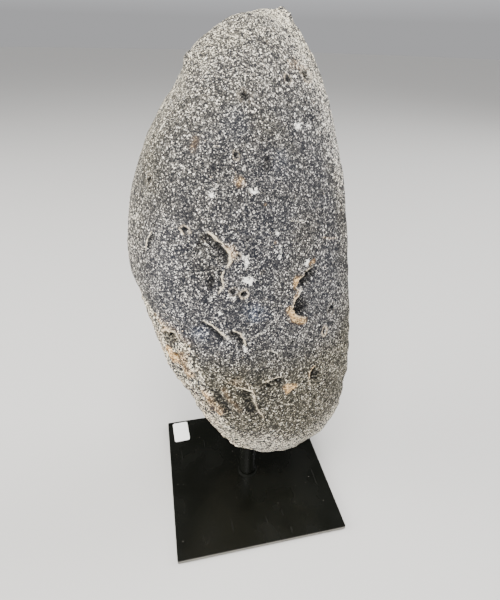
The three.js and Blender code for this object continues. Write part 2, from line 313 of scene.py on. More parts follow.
# Patches and streaks of colour, or of painted shade for the hollow kind: (kind, half-width, strength,
# places along it).
MARKS = [
    ("tan", 2.0, 0.5, [(17, 237, 84.5), (19.5, 231, 83)]),
    ("pale", 1.6, 0.6, [(17, 237, 85), (19.5, 230.5, 83)]),
    ("hollow", 1.7, 0.85, [(13, 221, 93), (12.5, 217, 94)]),
    ("pale", 1.1, 0.65, [(14.5, 214.5, 93.5), (13.5, 211, 95)]),
    ("pale", 0.8, 0.65, [(18.5, 212.5, 89.5), (22, 211, 86)]),
    ("pale", 1.7, 1.0, [(23, 230, 78.5), (22.5, 226.5, 79.5)]),
    ("pale", 1.2, 0.7, [(21.5, 231, 80)]),
    ("pale", 1.7, 1.0, [(23, 220.5, 81.5), (24.5, 218.5, 79.5), (26, 218, 77.5)]),
    ("pale", 1.2, 0.7, [(25.5, 216.5, 78.5)]),
    ("pale", 1.4, 0.75, [(28.5, 238, 62)]), ("pale", 1.1, 0.9, [(30.5, 231.5, 61)]),
    ("pale", 1.7, 0.9, [(31, 228, 62.5), (31.5, 226.5, 61)]),
    ("pale", 1.3, 0.7, [(29.5, 230.5, 64.5)]), ("tan", 1.3, 0.5, [(29, 234, 63.5)]),
    ("pale", 1.2, 0.7, [(34.5, 197.5, 69.5)]), ("pale", 1.3, 0.8, [(17, 204, 93)]),
    ("pale", 1.1, 0.7, [(1.5, 202.5, 102.5)]), ("tan", 2.0, 0.3, [(28, 221.5, 72)]),
    ("pale", 1.6, 0.8, [(38.5, 217, 44)]), ("tan", 1.8, 0.9, [(40, 216.5, 38.5)]),
    ("tan", 1.8, 0.5, [(38.5, 212, 50.5), (38, 208, 54.5)]),
    ("tan", 1.9, 1.0, [(38.5, 196.5, 59.5), (39, 194, 59), (40.5, 190, 57), (42.5, 186.5, 52.5),
                       (43.5, 186, 49)]),
    ("pale", 1.3, 0.4, [(37.5, 199, 60), (38.5, 192, 60), (41, 187.5, 57)]),
    ("tan", 2.2, 0.3, [(37, 199, 61), (37.5, 193, 61), (40, 187, 58.5)]),
    ("tan", 0.8, 0.5, [(39, 227, 29.5), (41, 224, 21.5), (42, 222, 13.5)]),
    ("pale", 0.8, 0.4, [(39, 227, 29.5), (41, 224, 21.5), (42, 222, 13.5)]),
    ("pale", 0.6, 0.35, [(30.5, 242.5, 53.5), (33, 241, 47.5), (35, 238.5, 40.5)]),
    ("pale", 1.5, 0.9, [(27.5, 183.5, 85.5), (28, 180, 85.5)]),
    ("pale", 1.2, 0.7, [(20, 190.5, 93), (22.5, 187.5, 91)]),
    ("blue", 4.5, 0.8, [(27, 202.5, 81), (31, 198.5, 76)]), ("blue", 4.5, 0.5, [(10, 193.5, 100)]),
    ("blue", 6.0, 0.2, [(22, 268, 50)]), ("blue", 7.0, 0.2, [(8, 287, 66)]),
    ("pale", 0.5, 0.5, [(30, 187.5, 80.5), (31.5, 188.5, 78), (32.5, 188, 76)]),
    ("pale", 0.5, 0.55, [(35, 177, 75), (36.5, 176.5, 72.5), (38.5, 173, 69.5)]),
    ("pale", 1.5, 0.5, [(33.5, 189, 74), (35.5, 188.5, 70.5)]),
    ("hollow", 4.4, 1.4, [(-12, 184, 103), (-8, 182, 103.5)]),
    ("warm", 14.0, 0.5, [(8, 170, 100), (18, 163, 96), (30, 160, 88)]),
    ("tan", 3.6, 1.8, [(-9.5, 174.5, 103), (-7.5, 171, 103)]),
    ("pale", 1.3, 0.4, [(-8.5, 174, 103)]),
    ("hollow", 2.0, 0.6, [(-5, 175, 103)]), ("tan", 2.6, 0.6, [(-5, 174.5, 103)]),
    ("hollow", 1.6, 0.9, [(9, 146.5, 98.5), (11, 142, 97)]),
    ("hollow", 1.9, 1.0, [(16, 158, 98), (18, 152, 96.5), (20.5, 144.5, 94.5), (22, 137.5, 92.5)]),
    ("hollow", 2.2, 1.0, [(28.5, 155, 88.5), (30, 149, 87), (31.5, 141.5, 85.5), (32, 134, 84)]),
    ("tan", 2.2, 1.5, [(43, 148.5, 66.5), (44.5, 146, 63.5), (46.5, 145, 59)]),
    ("tan", 1.8, 1.3, [(44.5, 143, 64.5)]), ("hollow", 3.2, 0.35, [(13.5, 300, 30), (11, 304, 29)]),
    ("tan", 3.0, 0.35, [(10, 306.5, 26), (11.5, 307, 18)]), ("pale", 1.3, 0.7, [(-1, 299, 61.5)]),
    ("pale", 1.5, 0.9, [(19.5, 286.5, 33.5)]),
    ("pale", 1.7, 0.95, [(21, 282.5, 35.5), (22, 281.5, 32.5)]),
    ("pale", 1.0, 0.85, [(23, 281.5, 28), (24, 281, 23)]), ("pale", 1.1, 0.7, [(18, 285.5, 40.5)]),
    ("pale", 1.2, 0.6, [(26, 279, 4.5)]), ("tan", 2.0, 0.4, [(-4, 281, 79), (-3.5, 275, 82.5)]),
    ("pale", 1.4, 1.0, [(7, 259.5, 84), (8, 257.5, 84)]),
    ("pale", 0.6, 0.5, [(7.5, 260, 83), (8.5, 263, 81)]),
    ("pale", 1.6, 0.55, [(14.5, 263.5, 72), (15.5, 262.5, 71)]),
    ("tan", 2.6, 0.7, [(14, 263.5, 73.5), (15.5, 262.5, 72)]),
    ("pale", 1.5, 1.0, [(17.5, 259.5, 70), (20, 258, 66.5)]), ("tan", 1.0, 0.4, [(18, 257, 70)]),
    ("hollow", 2.4, 0.7, [(19, 266.5, 60.5), (21, 268.5, 55.5)]),
    ("tan", 1.1, 0.6, [(23, 252.5, 64.5)]),
    ("hollow", 1.5, 0.8, [(18, 258, 70)]), ("hollow", 2.2, 0.55, [(11, 274, 70)]),
    ("hollow", 2.6, 0.9, [(52, 145, 41.5), (52.5, 139, 41.5)]),
    ("tan", 1.6, 0.8, [(50, 150, 44), (49.5, 147, 48)]),
    ("pale", 1.2, 0.5, [(50, 147.5, 48), (49.5, 143, 48.5)]),
    ("tan", 1.8, 0.8, [(37.5, 212.5, 53), (38, 208, 54)]), ("pale", 1.5, 0.5, [(37.5, 210.5, 54)]),
    ("hollow", 3.0, 0.8, [(41.5, 212, 39), (41, 209.5, 43.5), (40.5, 206.5, 46.5)]),
    ("hollow", 3.2, 0.7, [(41, 199.5, 50), (42.5, 195.5, 48.5), (43.5, 191, 47)]),
    ("pale", 0.6, 0.75, [(38, 207, 54), (38.3, 205.5, 53), (39.3, 204, 50.5), (39.2, 202.5, 53),
                         (39, 200, 56)]),
    ("tan", 1.2, 0.45, [(38, 207, 55), (39, 204.5, 52), (39, 201, 56)]),
    ("pale", 1.6, 0.7, [(39, 218.5, 42)]), ("tan", 1.4, 0.8, [(39, 216.5, 41)]),
    ("pale", 0.4, 0.7, [(-23.5, 284.5, 77), (-24.5, 282, 78), (-26, 279.5, 79)]),
]
# The old fracture lies below this line across the rind: (height, across).
FRACTURE_LINE = [
    (100, 24), (125, 23), (140, 21), (150, 17), (160, 13), (170, 10.5), (178, 9), (185, 7.5),
    (191, 0.5), (195, -7), (198, -22), (206, -60),
]
# Regions painted paler by light (top, heel, back), the paler rim and broken regions: each fades in or
# out between two heights, depths or places across.
TOP_HEIGHTS = (262, 322)
FOOT_HEIGHTS = (120, 195)
HEEL_TOP = 112
HEEL_FADE = 50
HEEL_RISE = 20
HEEL_RISE_ACROSS = (50, 38)
HEEL_PALER_ACROSS = (44, 20)
BLUSH_ACROSS = (5, -40)
BLUSH_HEIGHTS = (215, 290)
BACK_ACROSS = (12, 45)
BACK_DEPTHS = (20, 70)
RIM_DEPTHS = (4, 22)
RIM_PALER_HEIGHTS = (225, 265)
SIDE_DEPTHS = (60, 30)
FINE_HEIGHTS = (222, 285)
BROKEN_HEIGHTS = (190, 216)
BROKEN_DEPTHS = (3, 12)
BROKEN_ACROSS = (-66, -40)
BROKEN_WANDER_ACROSS = (-24, -44)
GRAIN_WAY = (48, -89, 18)
# Fine relief all over the rind: (size of the lumps, height, seed).
RELIEF = [(40, 0.9, 1), (18, 0.55, 2), (8, 0.35, 3), (3.6, 0.2, 4), (1.6, 0.16, 6)]
# What is kept for each place on the rind: amounts of colour, of painted shade (the hollow kind) and of
# painted light mixed with wear (the worn kind), and distances from lines and pits; the hole trace is
# the painted shade of pits.
KINDS = ("tan", "pale", "hollow", "blue", "worn_and_lit", "warm", "coarse", "fine")
TRACES = ("wall", "lip", "shade", "pit", "ring", "hole")
FAR = 9.0
MOST_PAINT = 1.2
LONGEST_TRACE = 4.0
NO_SHADOW = -3.0
# Lines fade over this share of their length at both ends. Thin ones are drawn as crisp lines.
END_TAPER = 0.12
THIN_LINE = 0.6
THIN_SEAM = 1.0
SMALL_PITS = 170
SMALL_PIT_RADII = (0.6, 1.5)
SMALL_PIT_NEAREST = 4


class Rind:
    """The rind's places with their normals, their weathering and their stains, with painted light and
    shade.
    """

    def __init__(self, columns, rows):
        grid = rind_grid(columns, rows)
        self.points = grid.reshape(-1, 3)
        self.normals = grid_normals(grid).reshape(-1, 3)
        self.across = self.points @ ACROSS
        self.height = self.points @ UP
        self.depth = FACE_OFFSET - self.points @ OUT
        self.rise = np.zeros(len(self.points))
        self.paint = {kind: np.zeros(len(self.points)) for kind in KINDS}
        self.trace = {kind: np.zeros(len(self.points)) for kind in TRACES}
        self.trace["wall"] += FAR
        self.trace["pit"] += FAR
        self.broad = self.lumps(5.0, 11)
        self.ragged = self.lumps(2.2, 13)

    def lumps(self, size, seed):
        """Smooth random lumps over the rind."""
        return lumps(self.points, size, seed)

    def nearest(self, spot):
        """The number of the rind's place nearest to (across, height, depth)."""
        return int(np.argmin(distances(self.points, place(*spot))))

    def distance(self, spot):
        """Distances of all places on the rind from the one nearest to (across, height, depth)."""
        return distances(self.points, self.points[self.nearest(spot)])

    def along(self, corners):
        """Distance from a line on the rind, share of its length, and which side a place is on."""
        if len(corners) == 1:
            return self.distance(corners[0]), np.full(len(self.points), 0.5), None
        spots = [self.nearest(corner) for corner in corners]
        steps = list(zip(spots, spots[1:]))
        best = np.full(len(self.points), np.inf)
        share = np.zeros(len(self.points))
        side = np.ones(len(self.points))
        spans = [np.linalg.norm(self.points[b] - self.points[a]) for a, b in steps]
        walked = 0.0
        for (a, b), span in zip(steps, spans):
            way = (self.points[b] - self.points[a]) / max(span, 1e-6)
            offset = self.points - self.points[a]
            run = np.clip(offset @ way, 0, span)
            apart = offset - run[:, None] * way
            gap = np.linalg.norm(apart, axis=1)
            left = np.cross(unit(self.normals[a] + self.normals[b]), way)
            closer = gap < best
            best = np.where(closer, gap, best)
            share = np.where(closer, (walked + run) / sum(spans), share)
            side = np.where(closer, np.sign(apart @ left), side)
            walked += span
        return best, share, side

    def draw_line(self, signed, lip, shade):
        """Keeps the signed distance from the nearest line, its paleness and its shadow's width."""
        closer = np.abs(signed) < np.abs(self.trace["wall"])
        for kind, values in (("wall", signed), ("lip", lip), ("shade", shade)):
            self.trace[kind] = np.where(closer, values, self.trace[kind])

    def dent(self, corners, depth, reach, shadow, lip, pale, tan):
        """A hollow behind a curved wall, with a pale tan lip along the wall, partly a painted
        highlight, and painted shadow beneath it and over the bowl.
        """
        gap, share, side = self.along(corners)
        signed = gap * side * np.sign(depth) + 0.7 * self.ragged
        inner = signed > 0
        gap = np.abs(signed)
        taper = tapered(share, 0, END_TAPER)
        wander = 1 + 0.3 * self.broad
        bowl = smooth_step(0, 1.5, gap) * (1 - smooth_step(1.5, reach * wander, gap))
        bowl = np.where(inner, bowl * np.sqrt(taper), 0)
        self.rise -= abs(depth) * bowl
        self.rise += lip * hill(gap / 1.3) * taper
        band = smooth_step(0.1, 0.8, gap)
        band *= 1 - smooth_step(0.7 * shadow, 1.7 * shadow * wander, gap)
        # Painted shade: a dark band under the wall and a fainter one over the bowl.
        self.paint["hollow"] += np.where(inner, taper * (0.6 * band + 0.25 * bowl), 0)
        edge = taper * hill(gap / np.where(inner, 0.5, 1.4))
        self.paint["tan"] += tan * edge
        self.paint["pale"] += 0.3 * pale * edge
        # The lip line: pale tan, partly a painted highlight, with a crisp painted shadow of the given
        # width beside it.
        ends = np.sqrt(taper)
        shade = (shadow - NO_SHADOW) * ends + NO_SHADOW
        self.draw_line(signed, (0.35 + 0.65 * pale) * ends, shade)

    def seam(self, corners, width, height, pale, tan):
        """A raised, broken seam with a shallow groove on both sides."""
        gap, share, side = self.along(corners)
        signed = gap * side + 0.4 * self.ragged
        gap = np.abs(signed)
        taper = tapered(share, 0, END_TAPER)
        broken = np.clip(0.8 + 0.7 * self.broad, 0.2, 1.2)
        crest = taper * broken * hill(gap / width)
        groove = taper * hill((gap - 2.3 * width) / width)
        self.rise += height * crest - 0.45 * height * groove
        self.paint["tan"] += tan * taper * hill(gap / (1.8 * width))
        self.paint["pale"] += 0.25 * pale * crest
        # Painted shade in the grooves.
        self.paint["hollow"] += 0.25 * groove
        if width < THIN_SEAM:
            strength = (0.3 + 0.6 * pale) * np.sqrt(taper * np.clip(0.7 + self.broad, 0.1, 1))
            self.draw_line(signed, strength, NO_SHADOW)

    def pit(self, spot, radius, depth, pale, tan):
        """A round pit with a paler ring, and painted shade in the pit."""
        gap = self.distance(spot) / radius
        near = np.flatnonzero(gap < 4)
        gap = gap[near] * (1 + 0.3 * self.ragged[near])
        darkness = min(1.0, 0.6 * depth)
        ring = hill((gap - 1.6) / 0.5)
        self.rise[near] -= depth * (1 - smooth_step(0.5, 1.15, gap))
        self.rise[near] += 0.3 * pale * ring
        # Painted shade in the pit; its darkness is also kept as the hole trace.
        self.paint["hollow"][near] += darkness * (1 - smooth_step(0.6, 1.2, gap))
        self.paint["tan"][near] += tan * ring
        self.paint["pale"][near] += 0.3 * pale * ring
        closer = gap < self.trace["pit"][near]
        brightness = min(1.0, 1.1 * (pale + tan) - 0.2)
        for kind, values in (("pit", gap), ("ring", brightness), ("hole", darkness)):
            self.trace[kind][near] = np.where(closer, values, self.trace[kind][near])

    def mark(self, kind, width, strength, corners):
        """A ragged patch or streak of one kind of colour. A hollow one is painted shade, and is also
        sunk into the surface.
        """
        gap, share, side = self.along(corners)
        is_line = len(corners) > 1
        ends = tapered(share, -0.1, 0.1) if is_line else 1.0
        ragged_gap = gap * (1 + 0.35 * self.ragged) / width
        amount = strength * ends * (1 - smooth_step(0.4, 1.5, ragged_gap))
        self.paint[kind] += amount
        if kind == "pale" and width <= THIN_LINE and is_line:
            self.draw_line(gap * side + 0.3 * self.ragged, strength * np.sqrt(ends), NO_SHADOW)
        # Painted shade, also sunk a little.
        if kind == "hollow":
            self.rise -= 1.1 * amount

    def weather(self):
        """Adds every swelling, hollow, seam, pit and stain, with painted shade in hollows, grooves and
        pits, then the fine relief all over the rind, the rough fracture, and paler wear with painted
        light.
        """
        for spot, radius, height in SWELLINGS:
            self.rise += height * hill(distances(self.points, place(*spot)) / radius)
        shapes = (self.dent, self.seam, self.pit, self.mark)
        for table, shape in zip((DENTS, SEAMS, PITS, MARKS), shapes):
            for row in table:
                shape(*row)
        self.scatter_pits(seed=5)
        for size, height, seed in RELIEF:
            self.rise += height * self.lumps(size, seed)
        self.rough_fracture()
        self.wear_and_light()

    def scatter_pits(self, seed):
        """Small pits here and there, none of them at the rim of the sawn face."""
        random = np.random.default_rng(seed)
        spots = random.choice(len(self.points), SMALL_PITS, replace=False)
        for at, radius in zip(spots, random.uniform(*SMALL_PIT_RADII, SMALL_PITS)):
            if self.depth[at] > SMALL_PIT_NEAREST:
                spot = (self.across[at], self.height[at], self.depth[at])
                self.pit(spot, radius, 0.6 * radius, 0.15, 0.05)

    def rough_fracture(self):
        """The old fracture is rough, with streaks running down it."""
        wander = 12 * self.lumps(26, 26)
        level = self.height + wander * smooth_step(*BROKEN_WANDER_ACROSS, self.across)
        line = np.interp(level, *np.transpose(FRACTURE_LINE))
        self.broken = smooth_step(-2, 5, line + 2 * self.broad - self.across)
        self.broken *= smooth_step(*BROKEN_DEPTHS, self.depth)
        self.broken *= 1 - smooth_step(*BROKEN_HEIGHTS, self.height + wander)
        self.broken *= smooth_step(*BROKEN_ACROSS, self.across + wander)
        grain_way = unit(np.array(GRAIN_WAY) @ (ACROSS, UP, OUT))
        stretched = self.points - 0.74 * np.outer(self.points @ grain_way, grain_way)
        crests = 1 - 2 * np.abs(lumps(stretched, 5.0, 21)) - 0.8 * np.abs(lumps(stretched, 2.4, 22))
        bumps = 0.7 * self.lumps(6.0, 24) + 0.6 * self.lumps(3.0, 25)
        self.rise += self.broken * (0.9 * crests + bumps)
        self.paint["tan"] += self.broken * (0.05 + 0.3 * smooth_step(0.0, 0.9, crests))
        self.paint["warm"] += 0.8 * self.broken
        # Painted shade between the crests of the streaks.
        self.paint["hollow"] += 0.8 * self.broken * smooth_step(0.05, -0.9, crests)

    def wear_and_light(self):
        """Painted light makes the top, the heel and the back paler; paler also at the rim and where
        the fracture is broken; warmer low down, coarser at the back.
        """
        top = smooth_step(*TOP_HEIGHTS, self.height)
        heel_top = HEEL_TOP + HEEL_RISE * smooth_step(*HEEL_RISE_ACROSS, self.across)
        heel = smooth_step(heel_top, heel_top - HEEL_FADE, self.height)
        heel *= 1 + 0.4 * smooth_step(*HEEL_PALER_ACROSS, self.across)
        foot = 1 - smooth_step(*FOOT_HEIGHTS, self.height)
        back = smooth_step(*BACK_ACROSS, -self.across) * smooth_step(*BACK_DEPTHS, self.depth)
        rim = 1 - smooth_step(*RIM_DEPTHS, self.depth)
        blush = 0.4 + 0.6 * smooth_step(*BLUSH_HEIGHTS, self.height)
        blush *= smooth_step(*BLUSH_ACROSS, self.across)
        self.rise += 0.4 * foot * self.lumps(9, 23)
        # Painted light on the top, the heel and the back; paler too on the broken fracture and at the
        # rim.
        self.paint["worn_and_lit"] += 0.7 * top + 1.8 * heel + 0.5 * back
        self.paint["worn_and_lit"] += self.broken * (1.1 + 0.9 * self.broad)
        self.paint["worn_and_lit"] += rim * (0.2 + 0.95 * smooth_step(*RIM_PALER_HEIGHTS, self.height))
        self.paint["warm"] += 0.6 * blush + 0.6 * top + foot - 0.3 * heel + 0.35 * back + 0.35 * rim
        self.paint["fine"] += smooth_step(*FINE_HEIGHTS, self.height)
        self.paint["coarse"] += 1.2 * foot + back + self.broken
        self.paint["coarse"] += 0.7 * smooth_step(*SIDE_DEPTHS, self.depth)

    def moved(self):
        """The places after weathering. Those on the sawn face stay in its plane."""
        inward = smooth_step(0, 5, self.depth)
        out = self.normals @ OUT
        way = self.normals - ((1 - inward) * out)[:, None] * OUT
        return self.points + self.rise[:, None] * way


# ---------------------------------------------------------------- meshes


def mesh_object(name, points, faces):
    """A new object in metres from places in millimetres."""
    mesh = bpy.data.meshes.new(name)
    mesh.from_pydata((np.asarray(points) * MM).tolist(), [], faces)
    mesh.validate()
    return linked(name, mesh)


def linked(name, data):
    """A new object in the scene, made from a mesh, a light or a camera."""
    made = bpy.data.objects.new(name, data)
    bpy.context.scene.collection.objects.link(made)
    return made


def grid_corners(columns, rows):
    """Numbers of a grid's corners, columns + 1 by rows + 1."""
    return np.arange((columns + 1) * (rows + 1)).reshape(columns + 1, rows + 1)


def grid_faces(columns, rows):
    """Quads of a grid."""
    corner = grid_corners(columns, rows)
    quads = [corner[:-1, :-1], corner[1:, :-1], corner[1:, 1:], corner[:-1, 1:]]
    return np.stack(quads, axis=-1).reshape(-1, 4)


def border_walk(columns, rows):
    """Corner numbers once round the grid's border."""
    corner = grid_corners(columns, rows)
    return np.concatenate([corner[:-1, 0], corner[-1, :-1], corner[:0:-1, -1], corner[0, :0:-1]])


def turned_solid(name, profile, steps, ripple=None):
    """A closed solid of revolution about the post's axis. Profile points are (radius, height)."""
    points, faces = [], []
    for step in range(steps):
        angle = 2 * math.pi * step / steps
        for radius, height in profile:
            if ripple:
                radius, height = ripple(radius, height, angle)
            points.append((radius * math.cos(angle), radius * math.sin(angle), height))
    rows = len(profile)
    for step in range(steps):
        here, there = step * rows, (step + 1) % steps * rows
        for k in range(rows):
            low, high = k, (k + 1) % rows
            faces.append((here + low, there + low, there + high, here + high))
    made = mesh_object(name, points, faces)
    with edited(made.data) as clean:
        bmesh.ops.remove_doubles(clean, verts=clean.verts, dist=1e-7)
        bmesh.ops.recalc_face_normals(clean, faces=clean.faces)
    return made


@contextmanager
def edited(mesh):
    """The mesh's places and faces for editing, written back at the end."""
    clean = bmesh.new()
    clean.from_mesh(mesh)
    yield clean
    clean.to_mesh(mesh)
    clean.free()


def smooth_shaded(mesh):
    """Smooth shading with sharp edges where faces meet at more than 60 degrees."""
    mesh.shade_smooth()
    mesh.set_sharp_from_angle(angle=math.radians(60))


def pocket_surface(around, rings):
    """The crystal lining: rings of places from the pocket's mouth to its middle."""
    turn = 2 * math.pi * np.arange(around) / around
    share = np.cos(np.linspace(0, math.pi / 2, rings + 1)[:-1])
    wide = np.multiply.outer(share, np.cos(turn))
    tall = np.multiply.outer(share, np.sin(turn))
    deep = np.sqrt(1 - share ** 2)[:, None] * np.ones(around)
    bowl = np.stack([wide, tall, deep], axis=-1).reshape(-1, 3)
    bowl = np.vstack([bowl, [[0, 0, 1]]])
    half = np.array([POCKET["half_width"], POCKET["half_height"], POCKET["depth"]])
    places = bowl * half
    inward = unit(-bowl / half)
    return places + inward * crystal_points(places, bowl[:, 2])[:, None]


def crystal_points(places, depth_share):
    """Heights of six-sided crystal points over the pocket's wall."""
    random = np.random.default_rng(8)
    height = np.zeros(len(places))
    for at in random.choice(len(places), CRYSTALS, replace=False):
        size = random.uniform(*CRYSTAL_SIZES)
        tallest = size * random.uniform(0.9, 1.5)
        spin = random.uniform(0, math.pi / 3)
        offset = places - places[at]
        near = np.linalg.norm(offset, axis=1)
        normal = unit(places[at] / CRYSTAL_STRETCH)
        first = unit(np.cross(normal, CRYSTAL_TILT))
        second = np.cross(normal, first)
        x, y = offset @ first, offset @ second
        reach = np.zeros(len(places))
        for side in range(6):
            angle = spin + side * math.pi / 3
            reach = np.maximum(reach, x * math.cos(angle) + y * math.sin(angle))
        point = np.where(near < 2 * size, tallest * (1 - reach / size), 0)
        height = np.maximum(height, point)
    return height * smooth_step(0.02, 0.25, depth_share)


def face_triangles(rim, mouth):
    """Places and triangles of the sawn face between its rim and the pocket's mouth."""
    low, high = rim.min(axis=0), rim.max(axis=0)
    lattice = [
        (x + (row % 2) * FACE_SPACING / 2, y)
        for row, y in enumerate(np.arange(low[1], high[1], FACE_ROW_STEP))
        for x in np.arange(low[0], high[0], FACE_SPACING)
    ]
    inner = [
        spot for spot in lattice
        if min(distances(rim, spot).min(), distances(mouth, spot).min()) > FACE_CLEARANCE
        and winding(rim, spot) and not winding(mouth, spot)
    ]
    places = [Vector(spot) for spot in (*rim, *mouth, *inner)]
    first = len(rim)
    edges = [(k, (k + 1) % first) for k in range(first)]
    edges += [(first + k, first + (k + 1) % len(mouth)) for k in range(len(mouth))]
    made, _, faces, origin, _, _ = geometry.delaunay_2d_cdt(places, edges, [], 1, 1e-7)
    back = [group[0] for group in origin]
    triangles = []
    for face in faces:
        middle = sum((made[k] for k in face), Vector((0, 0))) / 3
        if not winding(mouth, middle):
            triangles.append([back[k] for k in face])
    return np.array(places), triangles


def winding(loop, spot):
    """Whether a spot lies inside a closed loop."""
    x, y = loop[:, 0] - spot[0], loop[:, 1] - spot[1]
    x2, y2 = np.roll(x, -1), np.roll(y, -1)
    crosses = (y > 0) != (y2 > 0)
    with np.errstate(divide="ignore", invalid="ignore"):
        hit = x - y * (x2 - x) / (y2 - y) > 0
    return bool(np.count_nonzero(crosses & hit) % 2)


def stone_mesh(columns, rows):
    """Rind, sawn face and crystal pocket as one closed mesh, with its drawing attributes."""
    rind = Rind(columns, rows)
    rind.weather()
    points = rind.moved()
    walk = border_walk(columns, rows)
    rim = np.stack([points[walk] @ ACROSS, points[walk] @ UP], axis=1)

    around, rings = POCKET_AROUND, POCKET_RINGS
    pocket = pocket_surface(around, rings)
    pocket[:, :2] += (POCKET["across"], POCKET["height"])
    mouth = pocket[:around, :2]
    flat, triangles = face_triangles(rim, mouth)
    inner = flat[len(rim) + around:]
    inner_places = place(inner[:, 0], inner[:, 1], np.zeros(len(inner)))
    everything = np.vstack([points, place(*pocket.T), inner_places])

    first_pocket = len(points)
    first_inner = first_pocket + len(pocket)
    number = np.concatenate([
        walk,
        first_pocket + np.arange(around),
        first_inner + np.arange(len(inner)),
    ])
    quads = grid_faces(columns, rows).tolist()
    face = [[int(number[k]) for k in triangle[::-1]] for triangle in triangles]
    lining = pocket_faces(first_pocket, around, rings)
    made = mesh_object("geode_stone", everything, quads + face + lining)
    kinds = np.repeat([0, 1, 2], [len(quads), len(face), len(lining)])
    made.data.polygons.foreach_set("material_index", kinds)

    extra = len(everything) - len(points)
    for kind, values in rind.paint.items():
        write_attribute(made.data, kind, np.append(np.clip(values, 0, MOST_PAINT), np.zeros(extra)))
    for kind, values in rind.trace.items():
        shown = np.clip(values, -LONGEST_TRACE, LONGEST_TRACE)
        write_attribute(made.data, kind, np.append(shown, np.full(extra, LONGEST_TRACE)))
    write_attribute(made.data, "layer", agate_layers(everything, rim, mouth))
    return made


def pocket_faces(first, around, rings):
    """The faces of the crystal lining, whose places start at the number first."""
    faces = []
    for ring in range(rings - 1):
        a = first + ring * around
        b = a + around
        for k in range(around):
            after = (k + 1) % around
            faces.append([a + after, a + k, b + k, b + after])
    last = first + (rings - 1) * around
    tip = last + around
    return faces + [[last + (k + 1) % around, last + k, tip] for k in range(around)]


def write_attribute(mesh, name, values):
    """Stores one number for each corner place of the mesh."""
    made = mesh.attributes.new(name, "FLOAT", "POINT")
    made.data.foreach_set("value", values.astype(np.float32))


def agate_layers(points, rim, mouth):
    """0 at the rim of the sawn face and 1 at the pocket's mouth."""
    flat = np.stack([points @ ACROSS, points @ UP], axis=1)
    depth = FACE_OFFSET - points @ OUT
    layer = np.zeros(len(points))
    for k in np.flatnonzero(depth < 0.01):
        from_rim = distances(rim, flat[k]).min()
        from_mouth = distances(mouth, flat[k]).min()
        layer[k] = from_rim / max(from_rim + from_mouth, 1e-6)
    return layer


def cut_seat(stone):
    """Drills the pin's hole and the flat seat for the post's shoulder."""
    profile = [
        (0, DRILL_START), (SEAT_RADIUS, DRILL_START), (SEAT_RADIUS, SEAT_HEIGHT),
        (PIN_HOLE_RADIUS, SEAT_HEIGHT), (PIN_HOLE_RADIUS, PIN_HOLE_TOP), (0, PIN_HOLE_TOP + DRILL_TIP),
    ]
    drill = turned_solid("drill", profile, DRILL_STEPS)
    cut = stone.modifiers.new("seat", "BOOLEAN")
    cut.operation = "DIFFERENCE"
    cut.solver = "EXACT"
    cut.object = drill
    apply_modifiers(stone)
    bpy.data.objects.remove(drill)
    # Triangles cut along the better diagonal never fold onto each other.
    with edited(stone.data) as clean:
        bmesh.ops.triangulate(clean, faces=clean.faces)


def apply_modifiers(made):
    """Leaves the finished mesh and no modifiers."""
    bpy.context.view_layer.update()
    shown = made.evaluated_get(bpy.context.evaluated_depsgraph_get())
    mesh = bpy.data.meshes.new_from_object(shown)
    made.modifiers.clear()
    made.data = mesh


# ---------------------------------------------------------------- finishes


